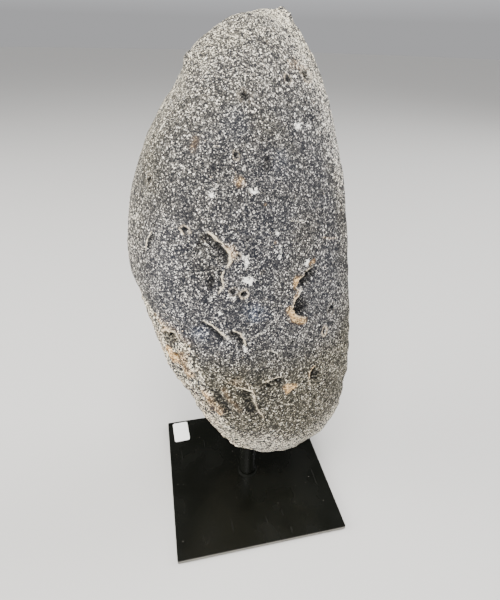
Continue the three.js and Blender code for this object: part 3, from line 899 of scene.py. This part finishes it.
class Finish:
    """Short hand for building one material from nodes."""

    def __init__(self, name):
        self.material = bpy.data.materials.new(name)
        self.material.use_nodes = True
        self.tree = self.material.node_tree
        self.tree.nodes.clear()
        output = self.tree.nodes.new("ShaderNodeOutputMaterial")
        self.shader = self.tree.nodes.new("ShaderNodeBsdfPrincipled")
        self.tree.links.new(self.shader.outputs[0], output.inputs["Surface"])
        self.places = self.tree.nodes.new("ShaderNodeTexCoord").outputs["Object"]

    def plug(self, value, socket):
        """A link, if the value comes from a node, or else the socket's own value."""
        if isinstance(value, bpy.types.NodeSocket):
            self.tree.links.new(value, socket)
        elif value is not None:
            socket.default_value = value

    def node(self, kind, out=0, options=None, **inputs):
        """A new node with these inputs, as one of its outputs."""
        made = self.tree.nodes.new("ShaderNode" + kind)
        for option, value in (options or {}).items():
            setattr(made, option, value)
        for name, value in inputs.items():
            self.plug(value, self.socket(made, name))
        return made.outputs[out]

    def socket(self, made, name):
        """A node's input by its name, or the second of that name if it ends in _001."""
        if name.endswith("_001"):
            return [each for each in made.inputs if each.name == name[:-4]][1]
        return made.inputs[name.replace("_", " ")]

    def set(self, **inputs):
        """Gives the surface its inputs, and returns the finished material."""
        for name, value in inputs.items():
            self.plug(value, self.socket(self.shader, name))
        return self.material

    def math(self, operation, a, b=None, clamp=False):
        """One sum, worked out for every place on the surface."""
        made = self.tree.nodes.new("ShaderNodeMath")
        made.operation = operation
        made.use_clamp = clamp
        self.plug(a, made.inputs[0])
        self.plug(b, made.inputs[1])
        return made.outputs[0]

    def add(self, a, b, clamp=False):
        return self.math("ADD", a, b, clamp)

    def times(self, a, b, clamp=False):
        return self.math("MULTIPLY", a, b, clamp)

    def most(self, a, b):
        return self.math("MAXIMUM", a, b)

    def unsigned(self, value):
        return self.math("ABSOLUTE", value)

    def between(self, share, a, b):
        """A number that goes from a to b as share goes from 0 to 1."""
        return self.node("Mix", Factor=share, A=a, B=b)

    def ramp(self, value, low, high, start=0.0, end=1.0):
        """A smooth rise from start to end as value goes from low to high."""
        made = self.tree.nodes.new("ShaderNodeMapRange")
        made.interpolation_type = "SMOOTHSTEP"
        for socket, number in zip(made.inputs, (value, low, high, start, end)):
            self.plug(number, socket)
        return made.outputs[0]

    def mix(self, share, a, b, blend="MIX"):
        """A colour that goes from a to b as share goes from 0 to 1."""
        made = self.tree.nodes.new("ShaderNodeMix")
        made.data_type = "RGBA"
        made.blend_type = blend
        self.plug(share, made.inputs[0])
        self.plug(rgba(a), made.inputs[6])
        self.plug(rgba(b), made.inputs[7])
        return made.outputs[2]

    def layered(self, colour, *layers):
        """A colour with others laid over it, each by its own share."""
        for share, over in layers:
            colour = self.mix(share, colour, over)
        return colour

    def shaded(self, colour, tone):
        """A colour made darker or lighter by a number."""
        grey = self.node("CombineColor", Red=tone, Green=tone, Blue=tone)
        return self.mix(1.0, colour, grey, "MULTIPLY")

    def channel(self, colour, number=0):
        """One of a colour's three numbers."""
        return self.node("SeparateColor", number, Color=colour)

    def noise(self, size, detail=2.0, roughness=0.5, warp=0.0, places=None):
        """Smooth noise between 0 and 1, with lumps about size metres across."""
        return self.node(
            "TexNoise", Vector=places or self.places, Scale=1 / size, Detail=detail,
            Roughness=roughness, Distortion=warp,
        )

    def sway(self, size, amount, detail=2.0, roughness=0.5):
        """Smooth noise on both sides of 0."""
        return self.times(self.add(self.noise(size, detail, roughness), -0.5), amount)

    def cells(self, size, places=None, out="Distance"):
        """Random cells about size metres across."""
        return self.node("TexVoronoi", out, Vector=places or self.places, Scale=1 / size)

    def attribute(self, name):
        """A number kept for each place of the mesh."""
        return self.node("Attribute", "Fac", options={"attribute_name": name})

    def stretched(self, scale):
        """The places, scaled by three numbers."""
        return self.node("Mapping", Vector=self.places, Scale=scale)

    def bump(self, height, distance, strength=1.0):
        return self.node("Bump", Height=height, Distance=distance, Strength=strength)


def rgba(colour):
    """A colour with its alpha, from three numbers. Sockets pass through."""
    if isinstance(colour, bpy.types.NodeSocket):
        return colour
    return (*tuple(colour)[:3], 1.0)


# Sets of granules: (share of the grain size, seed, share of the dullness).
GRANULE_SETS = {
    "fine": (1.0, 0.0, 1.0),
    "coarse": (1.45, 30.0, 1.1),
    "finest": (0.75, 90.0, 1.0),
    "sparks": (1.15, 60.0, 4.2),
    "coarse_sparks": (1.5, 120.0, 3.6),
}
HUE_TINT = (1.0, 0.86, 0.70)


def granules_of(f, size, seed, rarity):
    """Grains of uneven shape, most of them dark: the higher the rarity, the fewer are bright."""
    swirl = f.node("TexNoise", 1, Vector=f.places, Scale=0.9 / size, Detail=0.0)
    shift = f.node("VectorMath", Vector=swirl, Vector_001=(seed, seed, seed))
    bent = f.node("VectorMath", options={"operation": "SCALE"}, Vector=shift, Scale=0.8 * size)
    places = f.node("VectorMath", Vector=f.places, Vector_001=bent)
    cells = f.cells(size, places, out="Color")
    return f.math("POWER", f.channel(cells), rarity), f.channel(cells, 1)


def granule_field(f, settings, paint):
    """Brightness of the ordinary granules, of all of them, and their hue."""
    made = {
        name: granules_of(f, settings.grain_size * size, seed, settings.dullness * rarity)
        for name, (size, seed, rarity) in GRANULE_SETS.items()
    }
    patchy = f.sway(0.004, 1.6)
    coarse, small = (f.ramp(f.add(paint[kind], patchy), 0.42, 0.58) for kind in ("coarse", "fine"))
    mixed = f.between(coarse, made["fine"][0], made["coarse"][0])
    mixed = f.between(small, mixed, made["finest"][0])
    sparks = f.between(coarse, made["sparks"][0], made["coarse_sparks"][0])
    hue = f.between(coarse, made["fine"][1], made["coarse"][1])
    clusters = f.ramp(f.noise(0.0035, roughness=0.6), 0.35, 0.65, 0.65, 1.4)
    return mixed, f.times(f.add(f.times(mixed, settings.granule_share), sparks), clusters), hue


def granule_colours(f, settings, paint, granules, hue):
    """Pale granules crowded on a dark ground, and how stained each place is."""
    worn_and_lit, blue = paint["worn_and_lit"], paint["blue"]
    medium = f.noise(0.011, detail=3.0, roughness=0.6)
    broad = f.ramp(f.noise(0.045, detail=3.0, warp=0.4), 0.42, 0.72, 0.0, 0.35)
    warm = f.add(broad, paint["warm"], clamp=True)
    stain = f.ramp(f.add(paint["tan"], f.times(f.add(medium, -0.5), 0.4)), 0.10, 0.95)
    # The worn kind is partly painted light: it pales the ground and crowds pale granules at the top,
    # the heel and the back.
    ground = f.layered(
        settings.ground_colour,
        (warm, settings.warm_ground_colour),
        (f.ramp(worn_and_lit, 0.0, 1.2, 0.0, 0.85), settings.worn_and_lit_ground_colour),
        (f.times(blue, 0.8), settings.blue_ground_colour),
        (stain, settings.stain_ground_colour),
    )
    light = f.layered(
        settings.granule_colour,
        (warm, settings.warm_granule_colour),
        (blue, settings.blue_granule_colour),
        (stain, settings.stain_colour),
    )
    light = f.mix(f.times(hue, 0.45), light, f.mix(1.0, light, HUE_TINT, "MULTIPLY"))
    # More pale granules where the worn kind holds painted light.
    crowd = f.times(f.ramp(medium, 0.3, 0.7, 0.8, 1.2), f.ramp(worn_and_lit, 0.0, 3.0, 1.0, 9.0))
    crowd = f.times(crowd, f.ramp(blue, 0.0, 1.0, 1.0, 2.2))
    paleness = f.times(granules, crowd, clamp=True)
    paleness = f.between(f.ramp(worn_and_lit, 0.15, 1.2), paleness, f.ramp(paleness, 0.05, 0.50))
    return f.mix(paleness, ground, light), stain


def rind_finish(settings):
    """Pale quartz granules crowded on a dark blue-grey ground, with stains, lips and shadows."""
    f = Finish("stone_rind")
    paint = {kind: f.attribute(kind) for kind in (*KINDS, *TRACES)}
    mixed, granules, hue = granule_field(f, settings, paint)
    colour, stain = granule_colours(f, settings, paint, granules, hue)
    tan, lip, pit = paint["tan"], paint["lip"], paint["pit"]

    # White and ochre patches are made of granules too, so their edges are ragged.
    crumbs = f.noise(0.0009, detail=3.0, roughness=0.7)
    clump = f.add(f.times(f.add(mixed, -0.3), 0.8), f.sway(0.0014, 3.0, detail=4.0, roughness=0.65))
    white = f.mix(f.times(stain, 0.7), settings.patch_colour, settings.stain_colour)
    paler = f.ramp(f.add(crumbs, f.times(mixed, 0.2)), 0.42, 0.66, 0.0, 0.65)
    mottled = f.mix(paler, settings.stain_colour, settings.pale_stain_colour)
    speckled = f.add(f.ramp(crumbs, 0.35, 0.65, 0.6, 1.2), f.times(mixed, 0.3))
    colour = f.layered(
        colour,
        (f.ramp(f.add(paint["pale"], clump), 0.50, 0.78), white),
        (f.ramp(f.add(tan, clump), 0.75, 1.15), f.shaded(mottled, speckled)),
    )

    # Lips, seams and the rings of pits are thin and crisp; a dent's lip is partly a painted highlight,
    # and beside a lip lies a crisp painted shadow.
    wobble = f.sway(0.0012, 1.3)
    near = f.add(paint["wall"], wobble)
    reach = f.times(f.times(lip, settings.lip_width), f.ramp(f.noise(0.005), 0.35, 0.65, 0.4, 1.2))
    crest = f.ramp(f.unsigned(f.add(near, 0.2)), reach, f.times(reach, 0.3))
    solid = f.ramp(f.add(lip, f.times(f.add(crumbs, -0.5), 2.4)), 0.15, 0.75)
    lip_tint_with_highlight = f.mix(f.times(tan, 0.7), settings.lip_and_highlight_colour, mottled)
    ring = f.ramp(f.unsigned(f.add(f.add(pit, wobble), -1.5)), 0.55, 0.15)
    ring = f.times(f.times(ring, paint["ring"]), f.ramp(crumbs, 0.4, 0.6), clamp=True)
    colour = f.layered(
        colour,
        (f.times(crest, solid), f.shaded(lip_tint_with_highlight, f.ramp(crumbs, 0.3, 0.7, 0.65, 1.2))),
        (ring, settings.ring_colour),
    )
    # Painted shade: the hollow kind, the crisp shadow beside lips and the dark holes of pits darken
    # the colour.
    beneath = f.ramp(f.math("SUBTRACT", near, paint["shade"]), 1.0, -0.5)
    sharp = f.times(f.times(f.ramp(near, 0.2, 0.8), beneath), 0.95)
    pit_shade = f.times(f.times(f.ramp(pit, 1.1, 0.7), paint["hole"]), 0.85)
    dark = f.most(paint["hollow"], f.most(sharp, pit_shade))
    uneven = f.sway(0.0013, 1.3, detail=3.0, roughness=0.65)
    shadow = f.ramp(f.add(dark, f.times(uneven, f.ramp(dark, 0.0, 0.3))), 0.1, 0.95, 1.0, 0.27)
    relief = f.add(f.ramp(mixed, 0.0, 0.6), f.times(f.noise(settings.grain_size * 3), 1.2))
    return f.set(
        Base_Color=f.shaded(colour, shadow),
        Roughness=f.ramp(granules, 0.0, 1.0, 0.85, 0.55),
        Specular_IOR_Level=0.18,
        Normal=f.bump(relief, 0.0007),
    )


# The agate's bands from the rim to the pocket: (share of the way, colour).
AGATE_BANDS = [
    (0.00, (0.075, 0.06, 0.045)), (0.03, (0.23, 0.20, 0.16)), (0.055, (0.03, 0.033, 0.042)),
    (0.13, (0.085, 0.10, 0.14)), (0.18, (0.46, 0.46, 0.45)), (0.21, (0.05, 0.062, 0.095)),
    (0.32, (0.13, 0.16, 0.22)), (0.39, (0.035, 0.045, 0.075)), (0.49, (0.24, 0.28, 0.35)),
    (0.55, (0.60, 0.59, 0.56)), (0.59, (0.075, 0.07, 0.075)), (0.67, (0.17, 0.14, 0.11)),
    (0.74, (0.50, 0.47, 0.43)), (0.81, (0.22, 0.235, 0.26)), (0.89, (0.64, 0.63, 0.61)),
    (1.00, (0.42, 0.43, 0.46)),
]


def agate_finish(settings):
    """Polished agate: bands that follow the rim and close round the crystal pocket."""
    f = Finish("polished_agate")
    waver = f.add(f.sway(0.035, 0.10), f.sway(0.007, 0.012))
    place_in = f.add(f.attribute("layer"), waver, clamp=True)
    bands = f.node("ValToRGB", Fac=place_in)
    bands.node.color_ramp.interpolation = "B_SPLINE"
    fill_ramp(bands.node.color_ramp, AGATE_BANDS)
    lines = f.math("SINE", f.times(place_in, settings.fine_bands * 2 * math.pi))
    strength = f.ramp(f.noise(0.02), 0.35, 0.65, 0.05, 0.30)
    lined = f.mix(f.times(f.ramp(lines, -1, 1), strength), bands, (0.9, 0.88, 0.84))
    return f.set(
        Base_Color=f.shaded(lined, f.ramp(f.noise(0.004, detail=4.0), 0.3, 0.7, 0.86, 1.08)),
        Roughness=f.ramp(f.noise(0.012, detail=3.0), 0.3, 0.7, 0.09, 0.16),
        Specular_IOR_Level=0.45,
        Normal=f.bump(f.noise(0.0009), 0.00002, 0.4),
    )


def fill_ramp(ramp, stops):
    """Sets a colour ramp's stops from pairs of a position and a colour."""
    while len(ramp.elements) < len(stops):
        ramp.elements.new(0.5)
    for stop, (position, colour) in zip(ramp.elements, stops):
        stop.position = position
        stop.color = rgba(colour)


def quartz_finish(settings):
    """Glassy pale crystal points with smokier patches among them."""
    f = Finish("quartz_points")
    facets = f.channel(f.cells(0.0026, out="Color"))
    smoky = f.ramp(f.noise(0.012), 0.35, 0.7)
    colour = f.mix(smoky, settings.crystal_colour, settings.smoke_colour)
    return f.set(
        Base_Color=f.shaded(colour, f.ramp(facets, 0.0, 1.0, 0.75, 1.1)),
        Roughness=f.ramp(f.noise(0.003), 0.3, 0.7, 0.06, 0.2),
        Specular_IOR_Level=0.6,
        Normal=f.bump(f.noise(0.0007), 0.00003, 0.5),
    )


def paint_finish(name, settings, texture=0.0, highlight_sides=0.0, shine=0.26):
    """Black satin paint with settled dust, faint scratches, a painted highlight on the sides and a
    slight skin.
    """
    f = Finish(name)
    upright = f.tree.nodes.new("ShaderNodeSeparateXYZ")
    f.plug(f.node("NewGeometry", "Normal"), upright.inputs[0])
    # Painted highlight: upright sides are mixed towards the dust colour.
    side = f.ramp(f.unsigned(upright.outputs["Z"]), 0.85, 0.3, 0.0, highlight_sides)
    cloud = f.noise(0.03, detail=3.0)
    speck = f.ramp(f.cells(0.0045), 0.10, 0.04)
    some = f.ramp(f.channel(f.cells(0.0045, out="Color")), 0.80, 0.95)
    dust = f.times(f.times(speck, some), 0.5)
    scratch_places = f.stretched((1.0, 0.09, 1.0))
    scratch = f.ramp(f.noise(0.0016, detail=1.0, places=scratch_places), 0.72, 0.80)
    haze = f.times(f.ramp(cloud, 0.45, 0.75), 0.008)
    side_highlight = f.times(side, f.ramp(f.noise(0.02), 0.3, 0.7, 0.75, 1.0))
    film_and_highlight = f.add(f.add(dust, haze), f.add(f.times(scratch, 0.015), side_highlight), clamp=True)
    rough = f.add(f.ramp(cloud, 0.3, 0.7, 0.20, 0.30), f.times(scratch, 0.15), clamp=True)
    skin = f.add(f.noise(0.0012), f.times(f.noise(0.004), texture))
    return f.set(
        Base_Color=f.mix(film_and_highlight, settings.paint_colour, settings.dust_and_highlight_colour),
        Roughness=f.add(rough, 0.3 * texture),
        Specular_IOR_Level=shine,
        Normal=f.bump(skin, 0.00003 + 0.0002 * texture, 0.35),
    )


def paper_finish(settings):
    """Blank white paper sticker with faint fibres and slightly grubby patches."""
    f = Finish("label_paper")
    fibre = f.noise(0.0006, detail=3.0, places=f.stretched((1.0, 0.35, 1.0)))
    grime = f.ramp(f.noise(0.008), 0.5, 0.8, 0.0, 0.16)
    sheet = f.mix(f.ramp(fibre, 0.3, 0.7, 0.0, 0.1), settings.paper_colour, (0.7, 0.69, 0.66))
    return f.set(
        Base_Color=f.mix(grime, sheet, (0.62, 0.60, 0.55)),
        Roughness=f.ramp(fibre, 0.3, 0.7, 0.65, 0.85),
        Specular_IOR_Level=0.3,
        Normal=f.bump(fibre, 0.00003, 0.5),
    )


def felt_finish(settings):
    """Matt black felt with tangled fibres."""
    f = Finish("felt")
    tangle = f.noise(0.0012, detail=4.0, roughness=0.7, warp=1.5)
    lint = f.ramp(f.noise(0.0035), 0.6, 0.8, 0.0, 0.25)
    fibre = f.mix(f.ramp(tangle, 0.35, 0.7), (0.006, 0.006, 0.0055), settings.felt_colour)
    return f.set(
        Base_Color=f.mix(lint, fibre, (0.07, 0.068, 0.06)),
        Roughness=f.ramp(tangle, 0.3, 0.7, 0.9, 1.0),
        Specular_IOR_Level=0.15,
        Sheen_Weight=0.25,
        Sheen_Roughness=0.5,
        Normal=f.bump(tangle, 0.0004, 0.8),
    )


# ---------------------------------------------------------------- settings


def colour_setting(label, text, default):
    """A colour that a user can change."""
    return FloatVectorProperty(
        name=label, description=text, default=default, size=3, min=0.0, max=1.0, subtype="COLOR",
    )


class GeodeStoneSettings(bpy.types.PropertyGroup):
    """Fineness and colours of the stone"""

    columns: IntProperty(
        name="Columns", description="Mesh columns over the rind", default=262, min=24,
    )
    rows: IntProperty(name="Rows", description="Mesh rows over the rind", default=312, min=24)
    grain_size: FloatProperty(
        name="Grain Size", description="Spacing of the pale granules", default=0.00047,
        min=0.0002, unit="LENGTH", subtype="DISTANCE",
    )
    dullness: FloatProperty(
        name="Dullness", description="Higher leaves fewer granules bright", default=4.0, min=1.0,
    )
    granule_share: FloatProperty(
        name="Granule Share", description="How pale the ordinary granules are", default=0.18, min=0.0,
    )
    fine_bands: FloatProperty(
        name="Fine Bands", description="Thin agate lines from rim to pocket", default=34.0, min=0.0,
    )
    ground_colour: colour_setting(
        "Ground", "Dark ground between the granules", (0.0065, 0.0075, 0.0125))
    warm_ground_colour: colour_setting(
        "Warm Ground", "Ground in the browner areas", (0.0095, 0.0085, 0.005))
    # Also the paler ground painted where light falls on the top, the heel and the back.
    worn_and_lit_ground_colour: colour_setting(
        "Worn Ground", "Paler ground where the rind is worn", (0.026, 0.026, 0.030))
    blue_ground_colour: colour_setting(
        "Blue Ground", "Ground in the bluish areas", (0.014, 0.020, 0.036))
    stain_ground_colour: colour_setting(
        "Stained Ground", "Ground under tan stains", (0.085, 0.055, 0.032))
    granule_colour: colour_setting("Granules", "Pale quartz granules", (0.90, 0.89, 0.87))
    warm_granule_colour: colour_setting(
        "Warm Granules", "Granules in the browner areas", (0.93, 0.87, 0.69))
    blue_granule_colour: colour_setting(
        "Blue Granules", "Granules in the bluish areas", (0.74, 0.81, 0.95))
    stain_colour: colour_setting("Stain", "Tan and ochre stains", (0.56, 0.31, 0.10))
    pale_stain_colour: colour_setting(
        "Pale Stain", "Cream grains among the ochre", (0.94, 0.74, 0.44))
    patch_colour: colour_setting("Patches", "White mineral patches", (1.0, 0.97, 0.90))
    # Pale tan, and on dents' lips partly a painted highlight of the lit edge.
    lip_and_highlight_colour: colour_setting("Lips", "Pale tan edges of hollows and seams", (0.70, 0.64, 0.50))
    ring_colour: colour_setting("Rings", "Tan rings round small pits", (0.68, 0.57, 0.42))
    lip_width: FloatProperty(
        name="Lip Width", description="Reach of a pale edge to each side, in millimetres",
        default=0.95, min=0.1,
    )
    crystal_colour: colour_setting("Crystals", "Clear crystal points", (0.72, 0.73, 0.75))
    smoke_colour: colour_setting("Smoky Crystals", "Darker crystal points", (0.33, 0.32, 0.33))


class GeodeStandSettings(bpy.types.PropertyGroup):
    """Colours of the stand and the ripples of its weld"""

    paint_colour: colour_setting("Paint", "Black paint of plate and post", (0.0030, 0.0033, 0.0022))
    # Also the colour of the painted highlight on the plate's sides.
    dust_and_highlight_colour: colour_setting("Dust", "Dust on the paint", (0.16, 0.15, 0.13))
    felt_colour: colour_setting("Felt", "Lighter fibres of the felt", (0.025, 0.025, 0.022))
    paper_colour: colour_setting("Label", "Blank paper label", (0.96, 0.95, 0.92))
    ripples: IntProperty(name="Weld Ripples", description="Ripples round the bead", default=19, min=3)


class GeodeStageSettings(bpy.types.PropertyGroup):
    """Floor, light and lens"""

    floor_radius: FloatProperty(
        name="Floor Radius", description="Radius of the pale floor", default=9.0,
        min=0.5, unit="LENGTH", subtype="DISTANCE",
    )
    floor_colour: colour_setting("Floor", "Pale studio floor", (0.52, 0.51, 0.49))
    key_power: FloatProperty(
        name="Key Light", description="Power of the main softbox", default=42.0, min=0.0,
        unit="POWER",
    )
    ceiling_strength: FloatProperty(
        name="Ceiling Light", description="Strength of the even light from above", default=1.8,
        min=0.0,
    )
    focal_length: FloatProperty(
        name="Focal Length", description="Lens of the camera", default=25.27, min=5.0,
        unit="CAMERA",
    )


# ---------------------------------------------------------------- operators


class BuildGeode(bpy.types.Operator):
    """Build the stone: weathered rind, polished face and crystal pocket"""

    bl_idname = "geode.build_stone"
    bl_label = "Geode"

    def execute(self, context):
        settings = context.scene.geode_stone
        stone = stone_mesh(settings.columns, settings.rows)
        for material in (rind_finish(settings), agate_finish(settings), quartz_finish(settings)):
            stone.data.materials.append(material)
        cut_seat(stone)
        smooth_by_kind(stone.data)
        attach(stone, "root")
        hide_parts("geode")
        return {"FINISHED"}


def smooth_by_kind(mesh):
    """The rind is smooth shaded, the sawn face and the crystal points are flat."""
    kinds = np.zeros(len(mesh.polygons), int)
    mesh.polygons.foreach_get("material_index", kinds)
    smooth_shaded(mesh)
    mesh.polygons.foreach_set("use_smooth", kinds == 0)
    mesh.update()


# The weld bead: its inner radius in millimetres, and the steps of its arc and of each ripple.
BEAD_INNER = 6.65
BEAD_ARC_STEPS = 8
RIPPLE_STEPS = 12


class PaintStand(bpy.types.Operator):
    """Paint the plate and the post, and build the rippled weld bead"""

    bl_idname = "geode.paint_stand"
    bl_label = "Stand"

    def execute(self, context):
        settings = context.scene.geode_stand
        # The plate's sides get a painted highlight.
        give_finish("base_plate", paint_finish("plate_paint", settings, highlight_sides=0.8))
        give_finish("post", paint_finish("post_paint", settings, shine=0.6))
        self.build_bead(settings)
        return {"FINISHED"}

    def build_bead(self, settings):
        """A hollow fillet between the post and the plate, rippled all the way round."""
        low, high = (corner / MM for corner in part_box("weld_bead"))
        foot, tall, wide = low.z, high.z - low.z, high.x - BEAD_INNER

        def ripple(radius, height, angle):
            share = (angle * settings.ripples / (2 * math.pi)) % 1
            scale = 0.90 + 0.10 * math.sin(math.pi * share) ** 0.7
            if radius > BEAD_INNER:
                spread = 1 + 0.015 * math.sin(3 * angle + 1)
                radius = BEAD_INNER + (radius - BEAD_INNER) * scale * spread
            return radius, foot + (height - foot) * scale

        profile = [(BEAD_INNER, foot)]
        for turn in np.linspace(0, math.pi / 2, BEAD_ARC_STEPS + 1):
            reach = 1 - math.sin(turn) ** 1.2
            profile.append((BEAD_INNER + wide * reach, foot + tall * (1 - math.cos(turn))))
        bead = turned_solid("bead_round_post", profile, settings.ripples * RIPPLE_STEPS, ripple)
        bead.data.materials.append(paint_finish("painted_weld", settings, texture=1.0, shine=0.06))
        smooth_shaded(bead.data)
        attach(bead, "root")
        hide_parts("weld_bead")


class FinishFelt(bpy.types.Operator):
    """Give the pad under the plate its felt"""

    bl_idname = "geode.finish_felt"
    bl_label = "Felt Pad"

    def execute(self, context):
        give_finish("felt_pad", felt_finish(context.scene.geode_stand))
        return {"FINISHED"}


class FinishLabel(bpy.types.Operator):
    """Give the blank label its paper"""

    bl_idname = "geode.finish_label"
    bl_label = "Label"

    def execute(self, context):
        give_finish("label", paper_finish(context.scene.geode_stand))
        return {"FINISHED"}


def give_finish(node, material):
    """Puts one material in every slot of one of the frame's nodes."""
    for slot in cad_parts[node].material_slots:
        slot.material = material


# The stage is in metres. The sky's colours by height: (height, colour).
SKY = [(0.02, (0.42, 0.42, 0.43)), (0.18, (0.95, 0.96, 1.0)), (0.65, (0.10, 0.10, 0.11))]
WARM_LIGHT = (1.0, 0.99, 0.97)
COOL_LIGHT = (0.97, 0.98, 1.0)
# Softboxes: (name, place, width, share of the key light's power, colour).
SOFTBOXES = [
    ("key", (-0.2, -0.5, 1.45), 0.8, 1.0, WARM_LIGHT),
    ("left", (-1.6, 0.1, 0.7), 1.0, 0.95, WARM_LIGHT),
    ("right", (1.5, 0.2, 1.2), 1.0, 0.72, COOL_LIGHT),
    ("low", (-0.6, -1.0, 0.06), 0.6, 0.50, WARM_LIGHT),
]
LAMP_AIM = Vector((0, 0, 0.17))
CEILING_PLACE = (0, 0, 2)
CEILING_SPREAD = math.radians(70)
CEILING_TURN = (math.radians(12), math.radians(-8), 0)
FLOOR_STEPS = 96
FLOOR_RINGS = 8
CAMERA_PLACE = (-0.0523, -0.2196, 0.3200)
CAMERA_YAW = math.radians(-13.05)
CAMERA_TILT = math.radians(-32.59)
CAMERA_ROLL = math.radians(1.51)
SENSOR_HEIGHT = 36.0


class BuildStage(bpy.types.Operator):
    """Build the floor, the lights and the camera"""

    bl_idname = "geode.build_stage"
    bl_label = "Stage"

    def execute(self, context):
        settings = context.scene.geode_stage
        self.build_floor(settings)
        self.build_lights(settings)
        self.build_camera(settings)
        return {"FINISHED"}

    def build_floor(self, settings):
        """A round floor whose rings widen outwards."""
        points, faces = [(0, 0, 0)], []
        for ring in range(FLOOR_RINGS):
            radius = settings.floor_radius * ((ring + 1) / FLOOR_RINGS) ** 2
            for k in range(FLOOR_STEPS):
                turn = 2 * math.pi * k / FLOOR_STEPS
                points.append((radius * math.cos(turn), radius * math.sin(turn), 0))
        for k in range(FLOOR_STEPS):
            after = (k + 1) % FLOOR_STEPS
            faces.append((0, 1 + k, 1 + after))
            for ring in range(FLOOR_RINGS - 1):
                a = 1 + ring * FLOOR_STEPS
                b = a + FLOOR_STEPS
                faces.append((a + k, b + k, b + after, a + after))
        floor = mesh_object("floor", np.array(points) / MM, faces)
        floor.data.shade_smooth()
        f = Finish("floor_paper")
        mottle = f.ramp(f.noise(0.4), 0.3, 0.7, 0.0, 0.05)
        colour = f.mix(mottle, settings.floor_colour, (0.5, 0.5, 0.48))
        floor.data.materials.append(f.set(Base_Color=colour, Roughness=0.85, Specular_IOR_Level=0.2))

    def build_lights(self, settings):
        """A sky that is brightest low down, four softboxes and an even light from above."""
        world = bpy.data.worlds.new("studio")
        world.use_nodes = True
        tree = world.node_tree
        way = tree.nodes.new("ShaderNodeTexCoord").outputs["Generated"]
        split = tree.nodes.new("ShaderNodeSeparateXYZ")
        fade = tree.nodes.new("ShaderNodeValToRGB")
        tree.links.new(way, split.inputs[0])
        tree.links.new(split.outputs["Z"], fade.inputs[0])
        tree.links.new(fade.outputs[0], tree.nodes["Background"].inputs["Color"])
        fill_ramp(fade.color_ramp, SKY)
        bpy.context.scene.world = world
        for name, spot, width, power, colour in SOFTBOXES:
            light = bpy.data.lights.new(name, "AREA")
            light.energy = settings.key_power * power
            light.size = width
            light.color = colour
            lamp = linked(name, light)
            lamp.location = spot
            lamp.rotation_euler = (LAMP_AIM - Vector(spot)).to_track_quat("-Z", "Y").to_euler()
        ceiling = bpy.data.lights.new("ceiling", "SUN")
        ceiling.energy = settings.ceiling_strength
        ceiling.angle = CEILING_SPREAD
        above = linked("ceiling", ceiling)
        above.location = CEILING_PLACE
        above.rotation_euler = CEILING_TURN

    def build_camera(self, settings):
        """The camera looks down on the object, a little to the right and tilted."""
        camera = bpy.data.cameras.new("camera")
        camera.sensor_fit = "VERTICAL"
        camera.sensor_height = SENSOR_HEIGHT
        camera.lens = settings.focal_length
        eye = linked("camera", camera)
        eye.rotation_mode = "XYZ"
        eye.location = CAMERA_PLACE
        flat = math.cos(CAMERA_TILT)
        ahead = Vector((
            flat * -math.sin(CAMERA_YAW),
            flat * math.cos(CAMERA_YAW),
            math.sin(CAMERA_TILT),
        ))
        turn = ahead.to_track_quat("-Z", "Y")
        eye.rotation_euler = (turn @ Quaternion((0, 0, 1), CAMERA_ROLL)).to_euler()
        bpy.context.scene.camera = eye


class GeodePanel(bpy.types.Panel):
    """Lists the steps that build the geode and its stand"""

    bl_idname = "VIEW3D_PT_geode"
    bl_label = "Geode on a Stand"
    bl_space_type = "VIEW_3D"
    bl_region_type = "UI"
    bl_category = "Geode"

    def draw(self, context):
        layout = self.layout
        for step in STEPS:
            layout.operator(step.bl_idname)
        for key in GROUPS:
            group = getattr(context.scene, key)
            box = layout.box()
            for name in group.__annotations__:
                box.prop(group, name)


STEPS = (BuildStage, BuildGeode, PaintStand, FinishFelt, FinishLabel)
GROUPS = {
    "geode_stone": GeodeStoneSettings,
    "geode_stand": GeodeStandSettings,
    "geode_stage": GeodeStageSettings,
}
CLASSES = (*GROUPS.values(), *STEPS, GeodePanel)


def register():
    for each in CLASSES:
        bpy.utils.register_class(each)
    for key, group in GROUPS.items():
        setattr(bpy.types.Scene, key, PointerProperty(type=group))


def unregister():
    for key in GROUPS:
        delattr(bpy.types.Scene, key)
    for each in reversed(CLASSES):
        bpy.utils.unregister_class(each)


def main():
    register()
    for step in STEPS:
        group, name = step.bl_idname.split(".")
        getattr(getattr(bpy.ops, group), name)()


if __name__ == "__main__":
    main()
